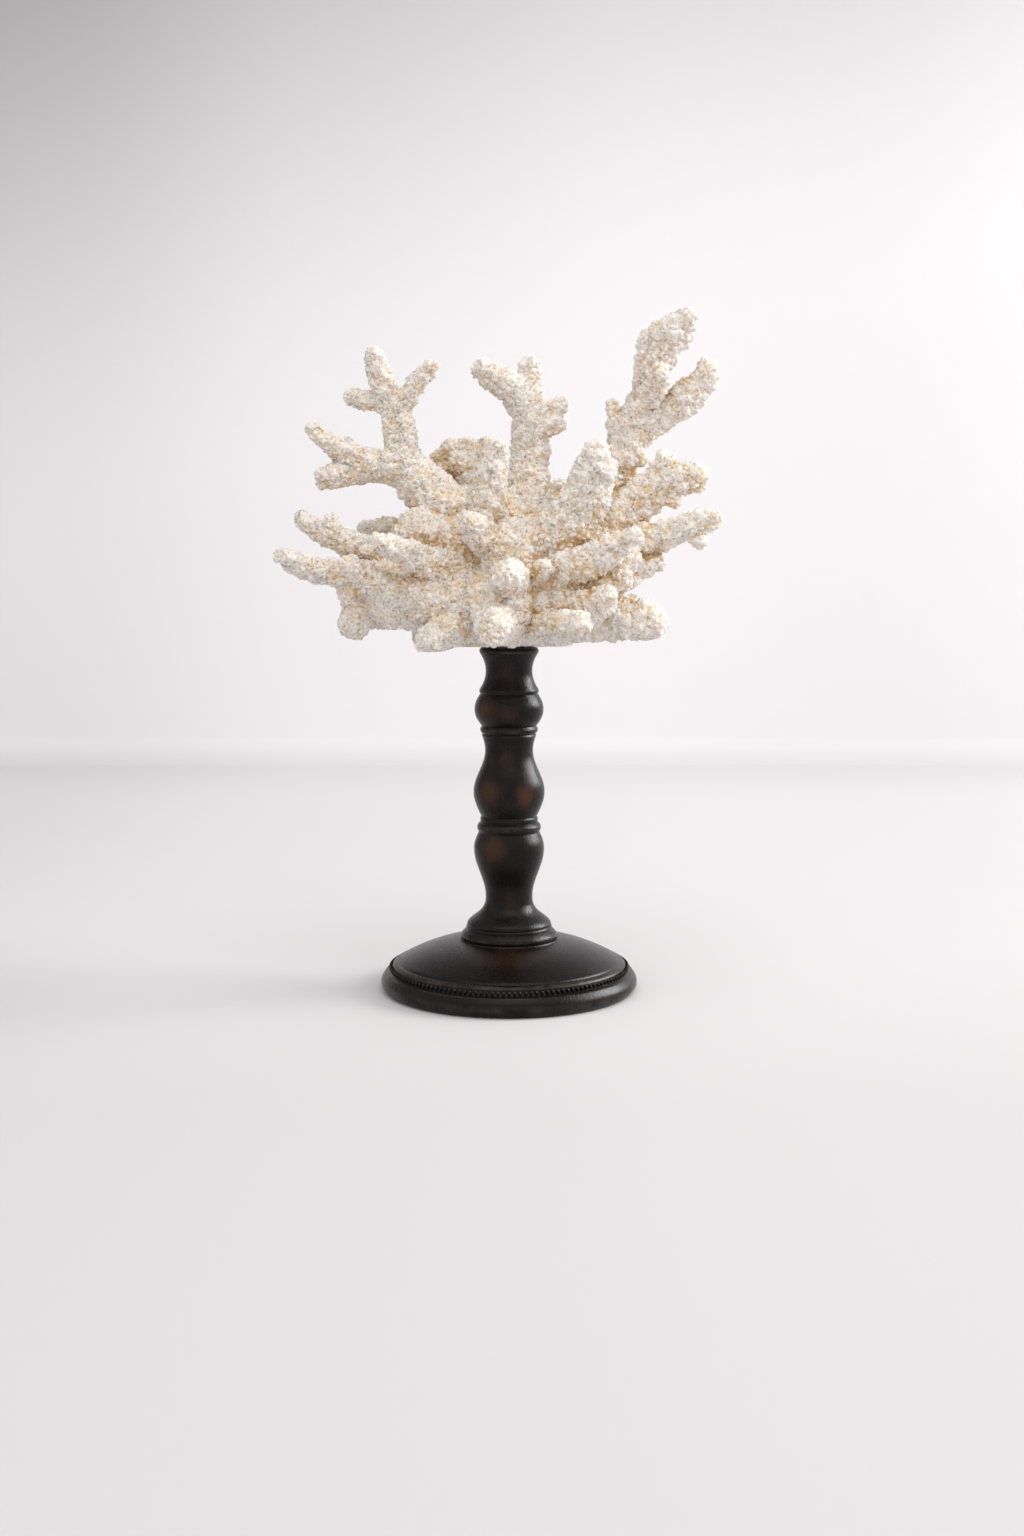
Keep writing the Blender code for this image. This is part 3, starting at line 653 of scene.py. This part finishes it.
def grid_corners(points, low):
    """The eight grid corners about each point, and each corner's share in it."""
    scaled = (points - low) / (SPREAD_GRID * MM)
    base = np.floor(scaled).astype(int)
    part = scaled - base
    for corner in itertools.product((0, 1), repeat=3):
        yield base + corner, np.prod(np.where(corner, part, 1 - part), axis=1)


def read_vectors(items, name):
    values = np.empty(len(items) * 3, np.float32)
    items.foreach_get(name, values)
    return values.reshape(-1, 3).astype(float)


def set_attribute(mesh, name, values):
    layer = mesh.attributes.new(name, "FLOAT", "POINT")
    layer.data.foreach_set("value", values.astype(np.float32))


def add_crust(mesh, solids):
    points = read_vectors(mesh.vertices, "co")
    normals = read_vectors(mesh.vertex_normals, "vector")
    closed = shelter(points, normals, solids)
    out, hollow, pores = crust(points)
    moved = points + normals * out[:, None] * MM
    low, high = (np.array(corner) for corner in cad_box)
    moved = np.clip(moved, low, high)
    mesh.vertices.foreach_set("co", moved.astype(np.float32).ravel())
    set_attribute(mesh, "shelter", closed)
    set_attribute(mesh, "hollow", hollow)
    set_attribute(mesh, "pore", pores)


def closed_rings(edges):
    """The edges that lie on closed rings, leaving out a slit that stops part way."""
    kept = set(edges)
    while True:
        ends = {}
        for edge in kept:
            for vert in edge.verts:
                ends.setdefault(vert, []).append(edge)
        loose = {found[0] for found in ends.values() if len(found) == 1}
        if not loose:
            return list(kept)
        kept -= loose


def keep_above(shape, place, up):
    """Cuts off all that is below a plane."""
    whole = [*shape.verts, *shape.edges, *shape.faces]
    bmesh.ops.bisect_plane(shape, geom=whole, plane_co=place, plane_no=up, clear_inner=True)


def part_at_forks(mesh):
    """Saws the coral across each main fork, and gives back the named parts."""
    shape = bmesh.new()
    shape.from_mesh(mesh)
    shape.faces.ensure_lookup_table()
    centres = read_vectors(mesh.polygons, "center")
    touched = []
    for _, limb, share, radius in FORKS:
        centre, direction = along(LIMBS[limb], share)
        offset = centres - np.array(centre)
        within = np.linalg.norm(offset, axis=1) < radius * MM
        within &= np.abs(offset @ np.array(direction)) < SAW_SLAB * MM
        touched.append((centre, direction, [shape.faces[i] for i in np.flatnonzero(within)]))
    rims = []
    for centre, direction, faces in touched:
        geom = {*faces}
        for face in faces:
            geom.update(face.edges, face.verts)
        cut = bmesh.ops.bisect_plane(shape, geom=list(geom), plane_co=centre, plane_no=direction)
        rims += closed_rings([item for item in cut["geom_cut"] if isinstance(item, bmesh.types.BMEdge)])
    bmesh.ops.split_edges(shape, edges=rims)
    keep_above(shape, (0, 0, COLUMN_TOP * MM), (0, 0, 1))
    shape.to_mesh(mesh)
    shape.free()
    colony = new_object("colony", mesh)
    for obj in bpy.context.view_layer.objects:
        obj.select_set(obj is colony)
    bpy.context.view_layer.objects.active = colony
    bpy.ops.object.mode_set(mode="EDIT")
    bpy.ops.mesh.select_all(action="SELECT")
    bpy.ops.mesh.separate(type="LOOSE")
    bpy.ops.object.mode_set(mode="OBJECT")
    parts = [obj for obj in bpy.context.scene.objects if obj.name.startswith("colony")]
    parts.sort(key=lambda obj: -len(obj.data.polygons))
    for crumb in parts[len(FORKS) + 1:]:
        bpy.data.objects.remove(crumb)
    del parts[len(FORKS) + 1:]
    named = {}
    for name, limb, share, _ in FORKS:
        centre, direction = along(LIMBS[limb], share)
        probe = centre + direction * PROBE_PAST_CUT * MM
        nearest = min(parts, key=lambda obj: (obj.closest_point_on_mesh(probe)[1] - probe).length)
        named[name] = nearest
        parts.remove(nearest)
    named["coral_trunk"] = parts[0]
    return named


def split_trunk(trunk):
    """The trunk's crust as three pieces side by side, each light enough to handle."""
    low, high = (side * MM for side in TRUNK_SPLITS)
    close_cuts(trunk.data)
    for where, start, end in (("_left", None, low), ("_middle", low, high), ("_right", high, None)):
        mesh = trunk.data.copy()
        for edge, side in ((start, -1), (end, 1)):
            if edge is not None:
                shape = bmesh.new()
                shape.from_mesh(mesh)
                keep_above(shape, (edge, 0, 0), (-side, 0, 0))
                shape.to_mesh(mesh)
                shape.free()
                close_cuts(mesh)
        yield where, new_object("trunk", mesh)
    bpy.data.objects.remove(trunk)


def close_cuts(mesh):
    """Fills the flat cuts of a part, and keeps their rims crisp."""
    shape = bmesh.new()
    shape.from_mesh(mesh)
    rim = [edge for edge in shape.edges if edge.is_boundary]
    made = bmesh.ops.holes_fill(shape, edges=rim, sides=0)
    for face in made["faces"]:
        face.smooth = False
    for edge in rim:
        edge.smooth = False
    shape.to_mesh(mesh)
    shape.free()


def add_coral(material):
    solids = bmesh.new()
    names = [name for name in frame["nodes"] if not name.startswith("stand")]
    for name in names:
        solids.from_mesh(bpy.data.objects[name].data)
    tree = BVHTree.FromBMesh(solids)
    solids.free()
    mesh = grow_colony()
    add_crust(mesh, tree)
    mesh.shade_smooth()
    parts = part_at_forks(mesh)
    trunk = parts.pop("coral_trunk")
    for part in parts.values():
        close_cuts(part.data)
    pieces = [("coral_trunk", where, piece) for where, piece in split_trunk(trunk)]
    pieces += [(name, "", part) for name, part in parts.items()]
    for node, where, piece in pieces:
        piece.name = piece.data.name = node + "_crust" + where
        piece.data.materials.clear()
        piece.data.materials.append(material)
        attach(piece, "root")
        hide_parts(node)


def edges_of(points):
    """How much each point of a profile stands out as an edge, from 0 to 1."""
    found = []
    for i, point in enumerate(points):
        before = next((p for p in reversed(points[:i]) if (p - point).length > EDGE_WINDOW), points[0])
        after = next((p for p in points[i:] if (p - point).length > EDGE_WINDOW), points[-1])
        run = after - before
        outward = Vector((-run.y, run.x)).normalized()
        height = (point - (before + after) / 2).dot(outward)
        found.append(min(1.0, max(0.0, height / EDGE_HEIGHT)))
    return found


def turned(name, points, steps, material):
    """A solid turned about +Z from a profile that runs down its outer side."""
    # How pale each ring's edge is painted: partly wear, partly a painted highlight
    edge_wear_and_highlight = [0.0, *edges_of(points), 0.0]
    points = [Vector((0, points[0].y)), *points, Vector((0, points[-1].y))]
    shape = bmesh.new()
    layer = shape.verts.layers.float.new("edge")
    line = []
    for point, wear_and_highlight in zip(points, edge_wear_and_highlight):
        vert = shape.verts.new((point.x * MM, 0, point.y * MM))
        vert[layer] = wear_and_highlight
        line.append(vert)
    for upper, lower in zip(line, line[1:]):
        shape.edges.new((upper, lower))
    whole = [*shape.verts, *shape.edges]
    bmesh.ops.spin(
        shape, geom=whole, cent=(0, 0, 0), axis=(0, 0, 1), angle=math.tau, steps=steps,
        use_merge=True, use_duplicate=False,
    )
    bmesh.ops.remove_doubles(shape, verts=shape.verts, dist=0.000001)
    bmesh.ops.recalc_face_normals(shape, faces=shape.faces)
    for face in shape.faces:
        face.smooth = True
    mesh = bpy.data.meshes.new(name)
    shape.to_mesh(mesh)
    shape.free()
    mesh.set_sharp_from_angle(angle=math.radians(CRISP_EDGE))
    add_rub(mesh)
    mesh.materials.append(material)
    return new_object(name, mesh)


def add_rub(mesh):
    """Marks where the stain is rubbed through."""
    points = read_vectors(mesh.vertices, "co") / MM
    side = np.degrees(np.arctan2(points[:, 1], points[:, 0]))
    rub = np.zeros(len(points))
    for faces, height, wide, tall, strength in RUBS:
        turn = (side - faces + 180) % 360 - 180
        away = (turn / wide) ** 2 + ((points[:, 2] - height) / tall) ** 2
        rub = np.maximum(rub, strength * np.exp(-away))
    set_attribute(mesh, "rub", rub)


def add_stand(material):
    column = run_down(COLUMN_TOP_RADIUS, COLUMN_TOP, COLUMN_MOULDINGS)
    column[-1].y = FOOT_TOP
    column = turned("stand_column_turned", column, COLUMN_STEPS, material)
    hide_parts("stand_column")
    foot = run_down(FOOT_TOP_RADIUS, FOOT_TOP, FOOT_MOULDINGS)
    foot[-1].y = 0
    foot = turned("stand_foot_turned", foot, FOOT_STEPS, material)
    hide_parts("stand_foot")
    for piece in (column, foot, bead_row(material)):
        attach(piece, "root")


def bead_row(material):
    shape = bmesh.new()
    layer = shape.verts.layers.float.new("edge")
    on_ring = Matrix.Translation(Vector((BEAD_RING, 0, BEAD_HEIGHT)) * MM)
    slant = Matrix.Rotation(math.radians(BEAD_SLANT), 4, "X")
    size = Matrix.Diagonal((*(radius * MM for radius in BEAD_RADII), 1))
    for i in range(BEADS):
        place = Matrix.Rotation(math.tau * i / BEADS, 4, "Z") @ on_ring @ slant
        bmesh.ops.create_uvsphere(shape, u_segments=8, v_segments=6, radius=1, matrix=place @ size)
    # The beads are painted pale as edges are: partly wear, partly a painted highlight
    for vert in shape.verts:
        vert[layer] = BEAD_WEAR_AND_HIGHLIGHT
    for face in shape.faces:
        face.smooth = True
    mesh = bpy.data.meshes.new("stand_foot_beads")
    shape.to_mesh(mesh)
    shape.free()
    add_rub(mesh)
    mesh.materials.append(material)
    return new_object("stand_foot_beads", mesh)


class Nodes:
    """A material's nodes, made a line at a time."""

    def __init__(self, name):
        self.material = bpy.data.materials.new(name)
        self.material.use_nodes = True
        self.tree = self.material.node_tree
        self.shader = self.tree.nodes["Principled BSDF"]
        self.place = self.add("ShaderNodeTexCoord").outputs["Object"]

    def add(self, kind, inputs=(), **settings):
        node = self.tree.nodes.new(kind)
        for name, value in settings.items():
            setattr(node, name, value)
        for name, value in dict(inputs).items():
            self.put(node.inputs[name], value)
        return node

    def put(self, socket, value):
        if isinstance(value, bpy.types.NodeSocket):
            self.tree.links.new(value, socket)
        else:
            socket.default_value = value

    def attribute(self, name):
        return self.add("ShaderNodeAttribute", attribute_name=name).outputs["Fac"]

    def stretched(self, across, up):
        """The place, stretched so that what is laid on it runs up the turned wood."""
        inputs = {"Vector": self.place, "Scale": (across, across, up)}
        return self.add("ShaderNodeMapping", inputs).outputs["Vector"]

    def noise(self, scale, detail=3.0, rough=0.5, place=None):
        inputs = {"Vector": place or self.place, "Scale": scale, "Detail": detail, "Roughness": rough}
        return self.add("ShaderNodeTexNoise", inputs).outputs["Fac"]

    def shaken(self, scale, reach):
        """The place, shifted a little by noise, so that cells laid on it are uneven."""
        inputs = {"Vector": self.place, "Scale": scale, "Detail": 1.0}
        noise = self.add("ShaderNodeTexNoise", inputs)
        shift = self.add("ShaderNodeVectorMath", operation="MULTIPLY_ADD")
        self.put(shift.inputs[0], noise.outputs["Color"])
        shift.inputs[1].default_value = (reach, reach, reach)
        self.put(shift.inputs[2], self.place)
        return shift.outputs["Vector"]

    def cells(self, scale, place=None):
        inputs = {"Vector": place or self.place, "Scale": scale}
        return self.add("ShaderNodeTexVoronoi", inputs).outputs["Distance"]

    def sum(self, *terms):
        """A sum of numbers, sockets, and sockets each with its weight."""
        total = 0.0
        for term in terms:
            value, weight = term if isinstance(term, tuple) else (term, 1.0)
            node = self.add("ShaderNodeMath", operation="MULTIPLY_ADD")
            self.put(node.inputs[0], value)
            node.inputs[1].default_value = weight
            self.put(node.inputs[2], total)
            total = node.outputs[0]
        return total

    def product(self, first, second):
        node = self.add("ShaderNodeMath", operation="MULTIPLY")
        self.put(node.inputs[0], first)
        self.put(node.inputs[1], second)
        return node.outputs[0]

    def between(self, value, low, high):
        """From 0 at low to 1 at high, eased at both ends."""
        inputs = {"Value": value, "From Min": low, "From Max": high}
        return self.add("ShaderNodeMapRange", inputs, interpolation_type="SMOOTHSTEP").outputs["Result"]

    def ramp(self, value, *stops):
        node = self.add("ShaderNodeValToRGB", {"Fac": value})
        elements = node.color_ramp.elements
        while len(elements) < len(stops):
            elements.new(0.5)
        for element, (position, colour) in zip(elements, stops):
            element.position = position
            element.color = (*colour, 1)
        return node.outputs["Color"]

    def blend(self, amount, first, second):
        node = self.add("ShaderNodeMix", data_type="RGBA")
        self.put(node.inputs[0], amount)
        self.put(node.inputs[6], first)
        self.put(node.inputs[7], second)
        return node.outputs[2]

    def bump(self, *heights):
        """Bumps laid over each other, each a height and its reach in metres."""
        normal = None
        for height, reach in heights:
            inputs = {"Height": height, "Distance": reach}
            if normal:
                inputs["Normal"] = normal
            normal = self.add("ShaderNodeBump", inputs).outputs["Normal"]
        self.put(self.shader.inputs["Normal"], normal)


def coral_finish():
    nodes = Nodes("bleached coral")
    hollow = nodes.attribute("hollow")
    closed = nodes.attribute("shelter")
    pore = nodes.attribute("pore")
    across = nodes.add("ShaderNodeSeparateXYZ", {"Vector": nodes.place}).outputs["X"]
    broad = nodes.noise(24, 2)
    patch = nodes.noise(110, 3)
    fine = nodes.noise(420, 3, 0.6)
    grain = nodes.noise(1700, 2, 0.6)
    # Painted shade: closed-in places between branches and low places of the crust get the tan tones,
    # partly the coral's own stain and partly painted shade
    stain_and_shade = nodes.sum(
        (closed, 1.15), (hollow, 0.85), (broad, 0.9), (patch, 1.0), (fine, 0.1), (across, 0.9), -1.47
    )
    colour = nodes.ramp(stain_and_shade, *CORAL_TONES)
    lace = nodes.cells(520, nodes.shaken(600, 0.0022))
    # Painted shade in the small pits of the lace and in the pores: they are darkened toward the pore
    # tone, which is partly their own tan
    pits = nodes.between(lace, 0.42, 0.14)
    pits = nodes.product(pits, nodes.sum((hollow, 0.45), (across, -1.6), 0.4))
    dark = nodes.sum((nodes.between(pore, 0.2, 0.9), 0.45), (pits, 0.85))
    colour = nodes.blend(dark, colour, PORE_TONE)
    nodes.put(nodes.shader.inputs["Base Color"], colour)
    nodes.shader.inputs["Roughness"].default_value = 0.82
    nodes.shader.inputs["Specular IOR Level"].default_value = 0.35
    nodes.shader.inputs["Subsurface Weight"].default_value = 0.4
    nodes.shader.inputs["Subsurface Radius"].default_value = (1.0, 0.8, 0.6)
    nodes.shader.inputs["Subsurface Scale"].default_value = 0.003
    nodes.bump((lace, 0.0011), (fine, 0.0004), (grain, 0.0001))
    return nodes.material


def wood_finish():
    nodes = Nodes("dark stained wood")
    edge = nodes.attribute("edge")
    rub = nodes.attribute("rub")
    streaks = nodes.noise(900, 4, 0.65, nodes.stretched(1, 0.06))
    figure = nodes.noise(150, 3, 0.6, nodes.stretched(1, 0.16))
    blotch = nodes.noise(70, 4, 0.62)
    speck = nodes.noise(1400, 2, 0.7)
    worn = nodes.sum((rub, 1.0), (blotch, 0.55), (streaks, 0.18), (figure, 0.2), (speck, 0.12), -0.72)
    worn = nodes.between(worn, 0.0, 1.05)
    colour = nodes.ramp(figure, *WOOD_TONES)
    colour = nodes.blend(worn, colour, BARE_WOOD)
    # The pale lines on convex edges and beads are partly dust and wear, partly a painted highlight
    dust_and_highlight = nodes.product(nodes.between(edge, 0.72, 1.0), nodes.between(blotch, 0.35, 0.65))
    colour = nodes.blend(nodes.product(dust_and_highlight, 0.32), colour, WORN_EDGE_AND_HIGHLIGHT)
    nodes.put(nodes.shader.inputs["Base Color"], colour)
    nodes.put(nodes.shader.inputs["Roughness"], nodes.sum((streaks, 0.14), (speck, 0.1), 0.14))
    nodes.shader.inputs["Specular IOR Level"].default_value = 0.17
    nodes.bump((streaks, 0.00018), (speck, 0.00006))
    return nodes.material


def wall_finish():
    nodes = Nodes("studio paper")
    place = nodes.add("ShaderNodeSeparateXYZ", {"Vector": nodes.place}).outputs
    # Painted shade on the paper: darker toward the top left, toward the front, in the corner where the
    # floor sweeps up, and toward the left and right sides
    far_corner = nodes.between(nodes.sum((place["Z"], 1.2), (place["X"], -0.35), -0.43), 0.0, 1.0)
    near = nodes.between(place["Y"], 0.1, -0.25)
    corner_shade = nodes.product(nodes.between(place["Y"], 0.7, 1.0), nodes.between(place["Z"], 0.034, 0.0))
    left = nodes.between(place["X"], -0.2, -0.46)
    right = nodes.between(place["X"], 0.05, 0.45)
    shade = nodes.sum(far_corner, (near, 0.21), (corner_shade, 0.17), (left, 0.13), (right, 0.16))
    # Painted light: the wall's paper is lighter than the floor's, to make up for the light it gets
    paper = nodes.blend(nodes.between(place["Z"], 0.0, SWEEP), FLOOR_PAPER, WALL_PAPER)
    nodes.put(nodes.shader.inputs["Base Color"], nodes.blend(shade, paper, SHADED_PAPER))
    nodes.shader.inputs["Roughness"].default_value = 0.9
    return nodes.material


def add_studio():
    """A pale floor that sweeps up into a wall behind."""
    shape = bmesh.new()
    line = [(PAPER_FRONT, 0.0), (WALL - SWEEP, 0.0)]
    for i in range(1, SWEEP_STEPS + 1):
        turn = math.pi / 2 * i / SWEEP_STEPS
        line.append((WALL - SWEEP + SWEEP * math.sin(turn), SWEEP * (1 - math.cos(turn))))
    line.append((WALL, WALL_TOP))
    verts = [shape.verts.new((-PAPER_HALF_WIDTH, y, z)) for y, z in line]
    edges = [shape.edges.new(pair) for pair in zip(verts, verts[1:])]
    swept = bmesh.ops.extrude_edge_only(shape, edges=edges)
    moved = [item for item in swept["geom"] if isinstance(item, bmesh.types.BMVert)]
    bmesh.ops.translate(shape, verts=moved, vec=(2 * PAPER_HALF_WIDTH, 0, 0))
    bmesh.ops.recalc_face_normals(shape, faces=shape.faces)
    for face in shape.faces:
        face.smooth = True
    mesh = bpy.data.meshes.new("studio_sweep")
    shape.to_mesh(mesh)
    shape.free()
    mesh.materials.append(wall_finish())
    new_object("studio_sweep", mesh)


def add_lamp(name, place, aim, size, power, colour):
    light = bpy.data.lights.new(name, "AREA")
    light.shape = "RECTANGLE"
    light.size, light.size_y = size
    light.energy = power
    light.color = colour
    obj = new_object(name, light)
    obj.location = place
    obj.rotation_euler = (Vector(aim) - Vector(place)).to_track_quat("-Z", "Y").to_euler()
    obj.visible_diffuse = name not in ONLY_GLINTS


def add_camera():
    camera = bpy.data.cameras.new("camera")
    camera.sensor_fit = "VERTICAL"
    camera.sensor_height = SENSOR
    camera.lens = LENS
    obj = new_object("camera", camera)
    obj.location = CAMERA_PLACE
    obj.rotation_euler = (math.radians(90 - CAMERA_DIP), 0, 0)
    bpy.context.scene.camera = obj


def add_lighting():
    world = bpy.data.worlds.new("soft room")
    world.use_nodes = True
    background = world.node_tree.nodes["Background"]
    background.inputs["Color"].default_value = ROOM_LIGHT
    background.inputs["Strength"].default_value = ROOM_STRENGTH
    bpy.context.scene.world = world
    for name, lamp in LAMPS.items():
        add_lamp(name, **lamp)
    bpy.context.scene.view_settings.view_transform = "Standard"


def main():
    add_camera()
    add_studio()
    add_lighting()
    add_stand(wood_finish())
    add_coral(coral_finish())


main()
